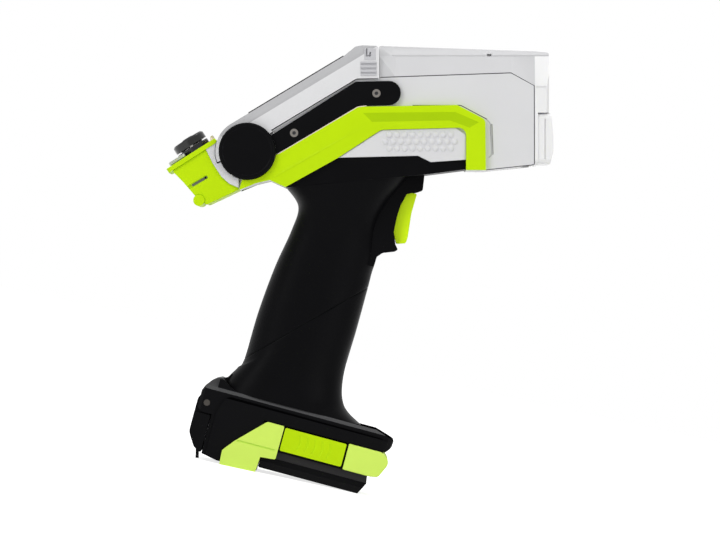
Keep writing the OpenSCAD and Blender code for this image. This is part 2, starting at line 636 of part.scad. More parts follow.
module trigger() {
  placed() color(lime) difference() {
    union() {
      across(-trigger_half, trigger_half) polygon(rounded([[10.4, 160.7], [16.2, 160.7, 0.8], [16, 150, 20], [17.4, 137.5, 4], [17.2, 134.2, 1.5],
        [12.4, 132.6, 1], [9.2, 138.4, 4], [8.6, 145.6, 6], [9, 152.4]]));
      across(-trigger_half, trigger_half) polygon([[8.9, 145], [9.6, 160], [5.5, 159], [5, 152], [5.6, 145]]);
      rod(trigger_x, trigger_z, 3, -trigger_half, trigger_half);
    }
    rod(trigger_x, trigger_z, trigger_pin_r + pin_gap, -far, far);
  }
}

// ---------- foot ----------
module base_housing() {
  placed() color(black) difference() {
    intersection() {
      union() {
        across(-base_half, base_half) polygon(rounded([[-57.5, 1, 0.5], [-57.5, 33], [-65.7, 33], [-64.4, 36, 3], [-62.4, 38.6, 5], [-60, 40.6, 4], [-57.8, 41.6, 2], [-56.4, 41.6, 0.4],
          [-56.4, base_top], [27.4, base_top, 2], [35.9, 33.7, 0.6], [37.7, 33, 0.6], [37.4, 29.6, 1.5], [36.6, 28, 0.8], [34.9, bay_top], [bay_x, bay_top], [bay_x, base_low], [-49, base_low, 4]]));
        across(-side_half, side_half) polygon(rounded([[-55.3, 0.7], [-55.3, 24, 8], [-52.2, 33.2, 4], [31, 32.6, 3], [36, 31, 1.5], [36.2, 28, 0.8],
          [34.9, bay_top], [bay_x, bay_top], [bay_x, base_low], [-49, base_low]]));
        for (s = [-1, 1]) {
          flank(s, ear_in, base_half) polygon([[door_x, door_z - knuckle_r], [door_x - knuckle_r, door_z], [door_x - knuckle_r, 29], [-66, 31.6], [-65.7, 33.1], [-55, 33.1], [-55, door_z - knuckle_r]]);
          flank(s, ear_in, base_half) translate([door_x, door_z]) circle(r = knuckle_r);
        }
      }
      linear_extrude(far, center = true) polygon(rounded([[-67, -side_half - 0.7, 9], [38.5, -side_half - 0.7, 10], [38.5, side_half + 0.7, 10], [-67, side_half + 0.7, 9]]));
      along(-80, 60) polygon([[-side_half, -1], [side_half, -1], [side_half, 32], [base_half, 34.6], [base_half - 2.4, base_top], [base_half - 7, 42], [7 - base_half, 42], [2.4 - base_half, base_top], [-base_half, 34.6], [-side_half, 32]]);
    }
    rod(door_x, door_z, knuckle_r + 0.5, -ear_in, ear_in);
    rod(door_x, door_z, door_pin_r, -far, far);
    box([-54.5, -30], [0.4 - ear_in, ear_in - 0.4], [4, 34.5]);
    box([-44, -4], [-14, 14], [30, 50]);
    box([-62, -50], [-14, 14], [7, 18]);
    for (s = [-1, 1]) {
      flank(s, ear_in - 1.4, far) polygon([[bay_x - corner_relief, -9], [bay_x + 1, -9], [bay_x + 1, bay_top], [bay_x - corner_relief, bay_top]]);
    }
  }
  placed() color(black) for (s = [-1, 1]) {
    guide(s, 0);
  }
}
// An L-shaped guide that hangs from the bay ceiling; g grows it for the groove in the battery.
module guide(s, g) {
  flank(s, 8 - g, 10 + g) polygon([[bay_x, guide_low - g], [30 + g * 100, guide_low - g], [30 + g * 100, bay_top + g * 100], [bay_x, bay_top + g * 100]]);
  flank(s, 8 - g, 13 + g) polygon([[bay_x, guide_low - g], [30 + g * 100, guide_low - g], [30 + g * 100, guide_low + 1.4 + g], [bay_x, guide_low + 1.4 + g]]);
}
module door_pin() {
  placed() color(steel) rod(door_x, door_z, door_pin_r, 0.2 - base_half, base_half - 0.2);
}
module port_door() {
  placed() color(black) difference() {
    union() {
      across(0.2 - ear_in, ear_in - 0.2) polygon(rounded([[-66.7, door_z], [-66.7, 10.4, 6], [-62.2, 3.2, 4], [-58, 1.2, 0.5], [-58, 24], [door_x, door_z]]));
      across(-base_half, base_half) polygon(rounded([[-66.7, 21.2], [-66.7, 10.4, 6], [-62.2, 3.2, 4], [-58, 1.2, 0.5], [-58, 21.2]]));
      rod(door_x, door_z, knuckle_r, 0.2 - ear_in, ear_in - 0.2);
      flank(-1, ear_in - 2.4, ear_in - 0.4) polygon([[-59.6, 4], [-58.2, -1.9], [-59.8, -2.1], [-61.4, 4]]);
    }
    box([-64.4, -57], [2.4 - ear_in, ear_in - 2.4], [6, 20.5]);
    rod(door_x, door_z, door_pin_r + pin_gap, -far, far);
  }
}
module port_block() {
  placed() color(pale_grey) difference() {
    box([-60, -50], [-14, 14], [7, 18]);
    box([-62, -53], [-11, -2], [9, 13]);
    box([-62, -53], [3, 11], [9, 15]);
  }
}
foot_pts = [[-28.4, 25.8, 2.5], [-19.2, 25.8, 0.8], [-19.4, 7.9, 0.8], [-27.3, 7.2], [bay_x - 0.3, table_z(bay_x - 0.3), 0.5], [-47, table_z(-47), 0.5], [-47.4, 5.6, 1.5], [-42.4, 11.8]];
module rear_feet() {
  placed() color(pale_lime) difference() {
    for (s = [-1, 1]) {
      flank(s, side_half, side_half + foot_out) polygon(rounded(foot_pts));
      flank(s, 12, side_half) polygon([[-46.8, table_z(-46.8)], [-46.8, base_low], [bay_x - 0.3 - corner_relief, base_low], [bay_x - 0.3 - corner_relief, table_z(bay_x - 0.3 - corner_relief)]]);
    }
    for (s = [-1, 1]) {
      flank(s, side_half + foot_out - 0.7, far) polygon([[-41.4, 11.9], [-21.4, 12.1], [-21.4, 12.9], [-41, 12.8]]);
    }
  }
}
band_z = slab_h + slab_band;
module battery_case() {
  placed() color(black) difference() {
    union() {
      across(-battery_half, battery_half) polygon(rounded([[-27.2, band_z], [-27.2, bay_top - 0.3], [34, bay_top - 0.3, 2], [35.6, 21.5, 3], [32.6, 13.4, 2], [29, band_z]]));
      across(-23, 23) polygon([[-27.2, slab_h], [-27.2, band_z], [29, band_z], [29.6, slab_h]]);
      intersection() {
        across(-23.6, 23.6) polygon([[-27.2, slab_low + 0.6], [-27.2, slab_h], [29.7, slab_h], [rest_x, slab_low], [-26.6, slab_low]]);
        along(-60, 60) polygon([[-19.6, slab_low], [19.6, slab_low], [23.6, 5.2], [23.6, 10], [-23.6, 10], [-23.6, 5.2]]);
      }
    }
    guide(-1, battery_gap);
    guide(1, battery_gap);
    box([-24, 26], [-12.5, 12.5], [3, 22]);
    for (s = [-1, 1]) {
      flank(s, battery_half - 5, far) polygon([[-18.9, 12.7], [14.9, 12.7], [14.9, 26.6], [-18.9, 26.6]]);
    }
    for (y = [-9 : 6 : 9]) {
      box([-30, -24.6], [y - 1.2, y + 1.2], [14, 22]);
    }
  }
}
module battery_cells() {
  placed() color([0.25, 0.4, 0.7]) for (y = [-12.5 : 8.4 : 6]) {
    box([-24, 26], [y, y + 8.2], [3, 21.4]);
  }
}
module battery_contacts() {
  placed() color(copper) for (y = [-9 : 6 : 9]) {
    box([-26.4, -24.6], [y - 1.2, y + 1.2], [14, 22]);
  }
}
module battery_bumper() {
  placed() color(pale_lime) difference() {
    across(-battery_half - foot_out, battery_half + foot_out) polygon(rounded([[15.6, band_z + 0.2, 0.6], [15.6, bay_top - 0.3, 0.6], [34, bay_top - 0.3, 4],
      [38.6, 21.6, 4], [34.6, 12.8, 2.5], [30.6, band_z + 0.2, 1]]));
    across(-battery_half, battery_half) polygon(rounded([[10, band_z], [10, bay_top + 9], [34, bay_top + 9], [34, bay_top - 0.3, 2], [35.6, 21.5, 3], [32.6, 13.4, 2], [29, band_z], [29, 5], [10, 5]]));
    linear_extrude(far) polygon([[30, -40], [60, -40], [60, -20]]);
    linear_extrude(far) polygon([[30, 40], [60, 40], [60, 20]]);
  }
}
module release(s) {
  placed() color(lime) difference() {
    flank(s, side_half + 0.05, battery_half + foot_out - 0.2) polygon(rounded([[-18.5, 13, 0.8], [14.5, 13, 0.8], [14.5, bay_top - 0.9, 0.8], [-18.5, bay_top - 0.9, 0.8]]));
    for (i = [-2 : 2]) {
      flank(s, battery_half + foot_out - 0.4, far) translate([i * 4 - 2, 19.3]) polygon([[-0.4, -4], [0.4, -4], [1.4, 0], [0.4, 4], [-0.4, 4], [0.6, 0]]);
    }
  }
}

// ---------- inside the nose ----------
tube_y = -8.1;
tube_z = 6;
motor_z = tube_z + 10.8;
module rod_x(y, z, r, x0, x1) {
  translate([x0, y, z]) rotate([0, 90, 0]) cylinder(r = r, h = x1 - x0);
}
module chassis() {
  body() color(steel) difference() {
    union() {
      across(-1.5, 1.5) polygon([[52, deck(52)], [86, deck(86)], [91, 3], [144, 3], [144, 32], [62, 32], [52, 24]]);
      box([132, 142], [-4.4, -1.5], [13, 20.6]);
    }
    rod_x(tube_y, motor_z, 4.1, 120, 150);
  }
}
module circuit_boards() {
  body() color(board_green) union() {
    box([56, 104], [1.5, 3.1], [5, 29]);
    box([116, 143.6], [1.5, 6.5], [4, 15]);
  }
}
module heat_sink() {
  body() color(steel) difference() {
    box([62, 86], [3.1, 11], [9, 27]);
    for (z = [11 : 3 : 24]) {
      box([60, 90], [5.4, 12], [z, z + 1.6]);
    }
  }
}
module hv_supply() {
  body() color([0.3, 0.3, 0.35]) box([84, 116], [-21, -1.5], [6, 28]);
}
module tube_shield() {
  body() color([0.45, 0.45, 0.47]) difference() {
    rod_x(tube_y, tube_z, 6.6, 116, 143.6);
    rod_x(tube_y, tube_z, 5.2, 110, 150);
  }
}
module xray_tube() {
  body() color([0.8, 0.8, 0.75]) rod_x(tube_y, tube_z, 5.2, 116, 143.2);
}
module detector() {
  body() color(steel) union() {
    rod_x(12, 9, 5.5, 126, 141);
    rod_x(12, 9, 4.4, 141, 143.8);
  }
}
module camera_module() {
  body() color([0.15, 0.15, 0.17]) union() {
    box([126, 138], [1.5, 9.5], [20, 31]);
    rod_x(5.5, 25.5, 3, 138, 142);
  }
}
module filter_motor() {
  body() color(steel) union() {
    rod_x(tube_y, motor_z, 4.1, 128, 143);
    rod_x(tube_y, motor_z, 1, 143, 146.6);
  }
}
module filter_wheel() {
  body() color(pale_grey) difference() {
    rod_x(tube_y, motor_z, 14, 144.4, 146);
    rod_x(tube_y, motor_z, 1 + pin_gap, 140, 150);
    for (a = [0 : 60 : 300]) {
      rod_x(tube_y + 10.4 * sin(a), motor_z - 10.4 * cos(a), 2.6, 140, 150);
    }
  }
}

shell(-1);  // right_shell
shell(1);  // left_shell
top_cover();
top_rail();
nose_cap();
window_bracket();
window_film();
window_screws();
side_bumpers();
finger_panels();
side_rails();
rail_screws();
tail_housing();
strap_pin();
keypad_plate();
keypad_board();
warning_lens();
nav_bezel();
hinge_cradle();
hinge_barrel();
hinge_pin();
grip_flange();
handle_upper();
handle_lower();
trigger_guard();
trigger_pin();
trigger_switch();
base_housing();
door_pin();
rear_feet();
port_block();
chassis();
circuit_boards();
heat_sink();
hv_supply();
xray_tube();
tube_shield();
detector();
camera_module();
filter_motor();
lid_frame();
lid_back();
lcd_panel();
display_glass();
hinge_caps();
lid_grips();
nav_pivot();
nav_pad();
nav_select();
key(-1);  // power_key
key(1);  // back_key
trigger();
filter_wheel();
battery_case();
battery_cells();
battery_contacts();
battery_bumper();
release(-1);  // right_release
release(1);  // left_release
port_door();
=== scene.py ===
import math
import bpy
import bmesh
from mathutils import Matrix, Vector


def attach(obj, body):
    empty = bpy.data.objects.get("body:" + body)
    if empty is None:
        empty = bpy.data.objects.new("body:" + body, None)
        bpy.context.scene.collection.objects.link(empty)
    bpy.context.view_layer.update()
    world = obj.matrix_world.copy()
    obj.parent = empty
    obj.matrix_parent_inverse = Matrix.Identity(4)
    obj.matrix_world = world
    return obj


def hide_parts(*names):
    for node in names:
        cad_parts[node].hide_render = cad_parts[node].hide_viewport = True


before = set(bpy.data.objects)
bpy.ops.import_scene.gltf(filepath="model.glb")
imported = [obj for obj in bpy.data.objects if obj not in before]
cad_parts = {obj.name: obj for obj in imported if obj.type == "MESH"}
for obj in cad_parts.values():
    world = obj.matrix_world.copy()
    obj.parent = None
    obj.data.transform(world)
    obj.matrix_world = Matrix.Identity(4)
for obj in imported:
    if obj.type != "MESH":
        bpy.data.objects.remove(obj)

scene = bpy.context.scene
MM = 0.001
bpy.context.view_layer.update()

# ---------------------------------------------------------------- camera
# The body leans nose up by STAND, and the whole settles back on its rear feet by SETTLE.
STAND, SETTLE = math.radians(15.0), math.radians(2.7)
TILT = STAND - SETTLE
CAMERA_AT, LENS = (0.012223, -3.0, 0.114241), 285.77
cam_data = bpy.data.cameras.new("photo_camera")
cam_data.sensor_width = 36.0
cam_data.lens = LENS
cam_data.clip_start = 0.5
cam_data.clip_end = 20.0
cam = bpy.data.objects.new("photo_camera", cam_data)
scene.collection.objects.link(cam)
RIGHT = Vector((math.cos(TILT), 0, math.sin(TILT)))
UP = Vector((-math.sin(TILT), 0, math.cos(TILT)))
rot = Matrix((RIGHT, UP, Vector((0, -1, 0)))).transposed().to_4x4()
cam.matrix_world = Matrix.Translation(Vector(CAMERA_AT)) @ rot
scene.camera = cam


# ---------------------------------------------------------------- materials
def node(nt, kind, x, y, **sockets):
    n = nt.nodes.new(kind)
    n.location = (x, y)
    for k, v in sockets.items():
        n.inputs[k.replace("_", " ")].default_value = v
    return n


SUB_RADIUS, SUB_SCALE = (1.0, 0.9, 0.4), 0.0015
WEAR_REACH = 0.35
# Colour of the painted highlight that lightens up-facing faces.
TOP_HIGHLIGHT_COLOUR = (0.30, 0.30, 0.31)


def material(name, colour, rough, grain=0.18, bump=0.25, depth=0.02, mottle=0.03, rough_var=0.06,
             coat=0.0, coat_rough=0.1, metal=0.0, spec=0.5, wear=0.0, wear_colour=None,
             transmission=0.0, ior=1.46, sub=0.0, top_highlight=0.0):
    """A procedural surface: fine grain bump, slow mottling, worn edges and a painted highlight on up-facing
    faces.
    grain and depth are in millimetres."""
    m = bpy.data.materials.new(name)
    m.use_nodes = True
    nt = m.node_tree
    nt.nodes.clear()
    out = node(nt, "ShaderNodeOutputMaterial", 900, 0)
    b = node(nt, "ShaderNodeBsdfPrincipled", 600, 0)
    nt.links.new(b.outputs["BSDF"], out.inputs["Surface"])
    b.inputs["Metallic"].default_value = metal
    b.inputs["Specular IOR Level"].default_value = spec
    b.inputs["IOR"].default_value = ior
    b.inputs["Coat Weight"].default_value = coat
    b.inputs["Coat Roughness"].default_value = coat_rough
    b.inputs["Transmission Weight"].default_value = transmission
    if sub > 0:
        b.inputs["Subsurface Weight"].default_value = sub
        b.inputs["Subsurface Radius"].default_value = SUB_RADIUS
        b.inputs["Subsurface Scale"].default_value = SUB_SCALE
    tc = node(nt, "ShaderNodeTexCoord", -1100, 0)
    src = tc.outputs["Object"]
    fine = node(nt, "ShaderNodeTexNoise", -700, -250, Scale=1.0 / (grain * MM), Detail=3.0, Roughness=0.6)
    nt.links.new(src, fine.inputs["Vector"])
    slow = node(nt, "ShaderNodeTexNoise", -700, 120, Scale=45.0, Detail=4.0, Roughness=0.55)
    nt.links.new(src, slow.inputs["Vector"])
    bp = node(nt, "ShaderNodeBump", 300, -300, Strength=bump, Distance=depth * MM)
    nt.links.new(fine.outputs["Fac"], bp.inputs["Height"])
    nt.links.new(bp.outputs["Normal"], b.inputs["Normal"])
    ramp = node(nt, "ShaderNodeMapRange", -450, 120)
    ramp.inputs["From Min"].default_value = 0.3
    ramp.inputs["From Max"].default_value = 0.7
    ramp.inputs["To Min"].default_value = 1.0 - mottle
    ramp.inputs["To Max"].default_value = 1.0 + mottle
    nt.links.new(slow.outputs["Fac"], ramp.inputs["Value"])
    tint = node(nt, "ShaderNodeVectorMath", -200, 160)
    tint.operation = "SCALE"
    tint.inputs[0].default_value = colour[:3]
    nt.links.new(ramp.outputs["Result"], tint.inputs["Scale"])
    col = tint.outputs["Vector"]
    rr = node(nt, "ShaderNodeMapRange", -200, -60)
    rr.inputs["From Min"].default_value = 0.3
    rr.inputs["From Max"].default_value = 0.7
    rr.inputs["To Min"].default_value = max(0.0, rough - rough_var)
    rr.inputs["To Max"].default_value = min(1.0, rough + rough_var)
    nt.links.new(slow.outputs["Fac"], rr.inputs["Value"])
    rgh = rr.outputs["Result"]
    if wear > 0:
        bev = node(nt, "ShaderNodeBevel", -700, 480, Radius=WEAR_REACH * MM)
        bev.samples = 4
        geo = node(nt, "ShaderNodeNewGeometry", -700, 640)
        dot = node(nt, "ShaderNodeVectorMath", -450, 520)
        dot.operation = "DOT_PRODUCT"
        nt.links.new(bev.outputs["Normal"], dot.inputs[0])
        nt.links.new(geo.outputs["True Normal"], dot.inputs[1])
        edge = node(nt, "ShaderNodeMapRange", -250, 520)
        edge.inputs["From Min"].default_value = 0.995
        edge.inputs["From Max"].default_value = 0.90
        edge.inputs["To Min"].default_value = 0.0
        edge.inputs["To Max"].default_value = wear
        nt.links.new(dot.outputs["Value"], edge.inputs["Value"])
        breakup = node(nt, "ShaderNodeTexNoise", -450, 340, Scale=420.0, Detail=5.0, Roughness=0.7)
        nt.links.new(src, breakup.inputs["Vector"])
        br = node(nt, "ShaderNodeMapRange", -250, 340)
        br.inputs["From Min"].default_value = 0.35
        br.inputs["From Max"].default_value = 0.62
        nt.links.new(breakup.outputs["Fac"], br.inputs["Value"])
        mul = node(nt, "ShaderNodeMath", -60, 440)
        mul.operation = "MULTIPLY"
        nt.links.new(edge.outputs["Result"], mul.inputs[0])
        nt.links.new(br.outputs["Result"], mul.inputs[1])
        mix = node(nt, "ShaderNodeMix", 140, 300)
        mix.data_type = "RGBA"
        nt.links.new(mul.outputs["Value"], mix.inputs["Factor"])
        nt.links.new(col, mix.inputs["A"])
        wc = wear_colour or tuple(min(1.0, c * 1.25 + 0.04) for c in colour[:3])
        mix.inputs["B"].default_value = (*wc, 1.0)
        col = mix.outputs["Result"]
    # Painted highlight: faces that point up are mixed towards a light grey, as if lit from above.
    if top_highlight > 0:
        up = node(nt, "ShaderNodeNewGeometry", -700, 900)
        axes = node(nt, "ShaderNodeSeparateXYZ", -450, 900)
        nt.links.new(up.outputs["Normal"], axes.inputs["Vector"])
        lie = node(nt, "ShaderNodeMapRange", -250, 900)
        lie.inputs["From Min"].default_value = 0.25
        lie.inputs["From Max"].default_value = 0.95
        lie.inputs["To Max"].default_value = top_highlight
        nt.links.new(axes.outputs["Z"], lie.inputs["Value"])
        film = node(nt, "ShaderNodeMix", 380, 420)
        film.data_type = "RGBA"
        nt.links.new(lie.outputs["Result"], film.inputs["Factor"])
        nt.links.new(col, film.inputs["A"])
        film.inputs["B"].default_value = (*TOP_HIGHLIGHT_COLOUR, 1.0)
        col = film.outputs["Result"]
    nt.links.new(col, b.inputs["Base Color"])
    nt.links.new(rgh, b.inputs["Roughness"])
    m.diffuse_color = (*colour[:3], 1.0)
    return m


M = {
    "white": material("white_moulding", (0.66, 0.66, 0.67), 0.45, grain=0.16, bump=0.18, depth=0.012,
                      mottle=0.012, wear=0.25, spec=0.3, sub=0.05),
    "white_gloss": material("white_lid", (0.68, 0.68, 0.69), 0.32, grain=0.25, bump=0.10, depth=0.010,
                            mottle=0.01, wear=0.2, spec=0.4, coat=0.1),
    "grey": material("pale_grey_moulding", (0.50, 0.50, 0.52), 0.38, grain=0.2, bump=0.2, depth=0.012,
                     mottle=0.02, wear=0.3),
    "lime": material("lime_moulding", (0.50, 0.74, 0.0005), 0.48, grain=0.16, bump=0.2, depth=0.012,
                     mottle=0.02, wear=0.18, spec=0.12, sub=0.05),
    # Shaded copy of lime: painted shade on the bumper's downward-facing strip.
    "lime_painted_shade": material("lime_recess_painted_shade", (0.385, 0.60, 0.0005), 0.5, grain=0.16, bump=0.2, depth=0.012,
                          mottle=0.02, spec=0.1, sub=0.05),
    "pale_lime": material("pale_lime_bumper", (0.64, 0.86, 0.13), 0.55, grain=0.2, bump=0.3, depth=0.015,
                          mottle=0.03, wear=0.15, spec=0.15, sub=0.05),
    "grip": material("soft_touch_grip", (0.0025, 0.0025, 0.003), 0.42, grain=0.14, bump=0.35, depth=0.02,
                     mottle=0.12, rough_var=0.05, spec=0.04),
    "black": material("black_moulding", (0.003, 0.003, 0.0036), 0.42, grain=0.18, bump=0.3, depth=0.018,
                      mottle=0.1, spec=0.05, wear=0.3, wear_colour=(0.012, 0.012, 0.014)),
    # Shaded copy of black for the base's up-facing ledge: darker and without specular, painted shade over its
    # highlight.
    "ledge": material("black_ledge_painted_shade", (0.0012, 0.0012, 0.0014), 0.85, grain=0.18, bump=0.3, depth=0.018,
                      mottle=0.1, spec=0.0),
    # Lit copy of black for the hood's top: slightly lighter, with a painted highlight on up-facing faces.
    "hood": material("black_hood_painted_highlight", (0.004, 0.004, 0.0046), 0.42, grain=0.18, bump=0.3, depth=0.018,
                     mottle=0.1, spec=0.06, wear=0.3, wear_colour=(0.03, 0.03, 0.033), top_highlight=0.3),
    "satin_black": material("satin_black", (0.0025, 0.0025, 0.003), 0.36, grain=0.22, bump=0.2, depth=0.012,
                            mottle=0.1, spec=0.05, wear=0.25, wear_colour=(0.03, 0.03, 0.035)),
    "gloss_black": material("gloss_black", (0.005, 0.005, 0.006), 0.16, grain=0.5, bump=0.08, depth=0.01,
                            mottle=0.1, spec=0.35, coat=0.15, coat_rough=0.08, wear=0.2,
                            wear_colour=(0.03, 0.03, 0.03)),
    "glass": material("cover_glass", (0.008, 0.009, 0.011), 0.05, grain=2.0, bump=0.02, depth=0.01,
                      rough_var=0.02, coat=0.8, coat_rough=0.02),
    "lcd": material("display_panel", (0.02, 0.025, 0.04), 0.25, grain=0.1, bump=0.05, depth=0.005),
    "lens": material("warning_lens", (0.92, 0.80, 0.62), 0.12, grain=0.6, bump=0.1, depth=0.01,
                     transmission=0.75, ior=1.49),
    "film": material("window_film", (0.55, 0.30, 0.05), 0.22, grain=0.8, bump=0.2, depth=0.02, coat=0.5),
    "steel": material("machined_steel", (0.46, 0.45, 0.44), 0.28, grain=0.12, bump=0.25, depth=0.01,
                      metal=1.0, rough_var=0.1, wear=0.3, wear_colour=(0.7, 0.7, 0.7)),
    "dark_steel": material("recessed_socket", (0.06, 0.055, 0.05), 0.3, grain=0.12, bump=0.25, depth=0.01,
                           metal=1.0, rough_var=0.1),
    "aluminium": material("aluminium", (0.62, 0.62, 0.64), 0.36, grain=0.15, bump=0.2, depth=0.01, metal=1.0,
                          rough_var=0.1),
    "board": material("solder_mask", (0.01, 0.10, 0.035), 0.3, grain=0.5, bump=0.3, depth=0.03, mottle=0.2,
                      coat=0.3),
    "contact": material("plated_contact", (0.75, 0.50, 0.18), 0.25, grain=0.2, metal=1.0),
    # Lit copy of lime for the trigger: lighter, painted light where it sits deeper in shade.
    "lime_lit": material("lime_trigger_painted_light", (0.66, 0.94, 0.004), 0.42, grain=0.16, bump=0.2, depth=0.012,
                         mottle=0.02, wear=0.3, spec=0.2, sub=0.05),
    "nose_white": material("white_nose_cap", (0.80, 0.80, 0.80), 0.4, grain=0.16, bump=0.18, depth=0.012,
                           mottle=0.012, wear=0.25, spec=0.3, sub=0.05),
    "cover_white": material("grey_white_cover", (0.54, 0.54, 0.55), 0.42, grain=0.16, bump=0.18, depth=0.012,
                            mottle=0.012, wear=0.25, spec=0.3),
    # Grey for painted shade: the lid's side chamfer and the crease lines beside the bumper.
    "band": material("painted_shade_grey", (0.43, 0.43, 0.44), 0.35, grain=0.2, bump=0.15, depth=0.012, mottle=0.02,
                     spec=0.3),
    "seam": material("parting_seam", (0.055, 0.055, 0.06), 0.6, grain=0.2, bump=0.2, depth=0.01, spec=0.1),
    # Beige for a painted highlight along the side rails' lower edge.
    "edge_highlight_beige": material("rail_edge_painted_highlight", (0.72, 0.62, 0.52), 0.5, grain=0.2, bump=0.2, depth=0.01, spec=0.2),
    # Dark grey for painted shade on the strap slot's floor.
    "slot": material("strap_slot_painted_shade", (0.17, 0.18, 0.15), 0.5, grain=0.2, bump=0.2, depth=0.01, spec=0.2),
    "screw": material("dark_zinc_screw", (0.20, 0.185, 0.17), 0.3, grain=0.12, bump=0.25, depth=0.01,
                      metal=1.0, rough_var=0.1, wear=0.4, wear_colour=(0.55, 0.53, 0.5)),
    # Lighter black for a painted highlight band along the battery slab's sides.
    "slab_band": material("battery_band", (0.016, 0.015, 0.016), 0.34, grain=0.2, bump=0.25, depth=0.015,
                          mottle=0.1, spec=0.2),
    "ceramic": material("glazed_ceramic", (0.66, 0.62, 0.52), 0.2, grain=0.5, coat=0.5),
    "wrap": material("cell_wrap", (0.03, 0.09, 0.28), 0.3, grain=0.8, bump=0.2, coat=0.3),
    "key": material("key_cap", (0.60, 0.61, 0.60), 0.30, grain=0.3, bump=0.1, transmission=0.25, sub=0.1,
                    coat=0.2),
}

LOOK = {
    "right_shell": "white", "left_shell": "white", "top_cover": "cover_white", "top_rail": "cover_white",
    "nose_cap": "nose_white",
    "window_bracket": "nose_white", "window_film": "film", "window_screws": "steel", "side_bumpers": "lime",
    "finger_panels": "white", "side_rails": "satin_black", "rail_screws": "screw", "tail_housing": "lime",
    "strap_pin": "lime", "keypad_plate": "lime", "keypad_board": "board", "warning_lens": "lens",
    "nav_bezel": "gloss_black", "hinge_cradle": "white", "hinge_barrel": "white_gloss", "hinge_pin": "steel",
    "grip_flange": "grip", "handle_upper": "grip", "handle_lower": "grip", "trigger_guard": "grip",
    "trigger_pin": "steel", "trigger_switch": "gloss_black", "base_housing": "black",
    "door_pin": "dark_steel",
    "rear_feet": "pale_lime", "port_block": "grey", "chassis": "aluminium", "circuit_boards": "board",
    "heat_sink": "aluminium", "hv_supply": "black", "xray_tube": "ceramic", "tube_shield": "steel",
    "detector": "steel", "camera_module": "gloss_black", "filter_motor": "steel", "lid_frame": "white_gloss",
    "lid_back": "white_gloss", "lcd_panel": "lcd", "display_glass": "glass", "hinge_caps": "satin_black",
    "lid_grips": "grey", "nav_pivot": "steel", "nav_pad": "gloss_black", "nav_select": "gloss_black",
    "power_key": "key", "back_key": "key", "trigger": "lime_lit", "filter_wheel": "aluminium",
    "battery_case": "black", "battery_cells": "wrap", "battery_contacts": "contact",
    "battery_bumper": "pale_lime", "right_release": "lime", "left_release": "lime", "port_door": "black",
}
# Edge rounding in millimetres for each CAD node; the rest get EDGE_PLAIN.
EDGE_PLAIN = 0.2
EDGE = {"side_bumpers": 0.45, "side_rails": 0.5, "hinge_caps": 0.6, "battery_bumper": 0.6, "rear_feet": 0.5,
        "right_release": 0.4, "left_release": 0.4, "lid_frame": 0.3, "nose_cap": 0.4, "window_bracket": 0.35,
        "port_door": 0.5, "base_housing": 0.4, "battery_case": 0.4, "trigger": 0.5, "trigger_guard": 0.35,
        "right_shell": 0.35, "left_shell": 0.35, "tail_housing": 0.5, "nav_pad": 0.5, "finger_panels": 0.15,
        "top_rail": 0.25, "grip_flange": 0.5, "keypad_plate": 0.3}
WELD_GAP, FLAT_WITHIN, EDGE_ABOVE = 2e-6, math.radians(0.6), math.radians(25)
for name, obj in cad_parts.items():
    obj.data.materials.clear()
    obj.data.materials.append(M[LOOK[name]])
    for p in obj.data.polygons:
        p.material_index = 0
    w = obj.modifiers.new("weld", "WELD")
    w.merge_threshold = WELD_GAP
    if name in ("handle_upper", "handle_lower"):
        obj.modifiers.new("smooth_normals", "WEIGHTED_NORMAL")
        continue
    d = obj.modifiers.new("planes", "DECIMATE")
    d.decimate_type = "DISSOLVE"
    d.angle_limit = FLAT_WITHIN
    bv = obj.modifiers.new("edge", "BEVEL")
    bv.width = EDGE.get(name, EDGE_PLAIN) * MM
    bv.segments = 2
    bv.limit_method = "ANGLE"
    bv.angle_limit = EDGE_ABOVE
    bv.use_clamp_overlap = True
    bv.harden_normals = False
    bv.miter_outer = "MITER_ARC"
    wn = obj.modifiers.new("normals", "WEIGHTED_NORMAL")
    wn.keep_sharp = False
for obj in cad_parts.values():
    for p in obj.data.polygons:
        p.use_smooth = True

# ---------------------------------------------------------------- frames of the solids: mm in, metres out
# The stand's frame turns about the slab's front corner, (REST_X, SLAB_LOW), and SHIFT centres the part.
SHIFT, REST_X, SLAB_LOW = 9.216, 26.4, 1.5
GUN_AT = (-75, 0, 159)
STAND_M = (Matrix.Scale(MM, 4) @ Matrix.Translation((REST_X + SHIFT, 0, 0)) @ Matrix.Rotation(SETTLE, 4, "Y")
           @ Matrix.Translation((-REST_X, 0, -SLAB_LOW)))
GUN_M = STAND_M @ Matrix.Translation(GUN_AT) @ Matrix.Rotation(-STAND, 4, "Y")


def piece(name, bm, mats, body, m=GUN_M, replaces=(), bevel=0.0, angle=25, smooth=35):
    """A finished piece from a bmesh in one of the millimetre frames."""
    bmesh.ops.recalc_face_normals(bm, faces=bm.faces)
    bm.transform(m)
    me = bpy.data.meshes.new(name)
    bm.to_mesh(me)
    bm.free()
    ob = bpy.data.objects.new(name, me)
    scene.collection.objects.link(ob)
    for mt in mats:
        me.materials.append(mt)
    for f in me.polygons:
        f.use_smooth = True
    if smooth:
        me.set_sharp_from_angle(angle=math.radians(smooth))
    if bevel:
        bv = ob.modifiers.new("edge", "BEVEL")
        bv.width = bevel * MM
        bv.segments = 3
        bv.limit_method = "ANGLE"
        bv.angle_limit = math.radians(angle)
        bv.use_clamp_overlap = True
        wn = ob.modifiers.new("normals", "WEIGHTED_NORMAL")
        wn.keep_sharp = False
    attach(ob, body)
    if replaces:
        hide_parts(*replaces)
    return ob


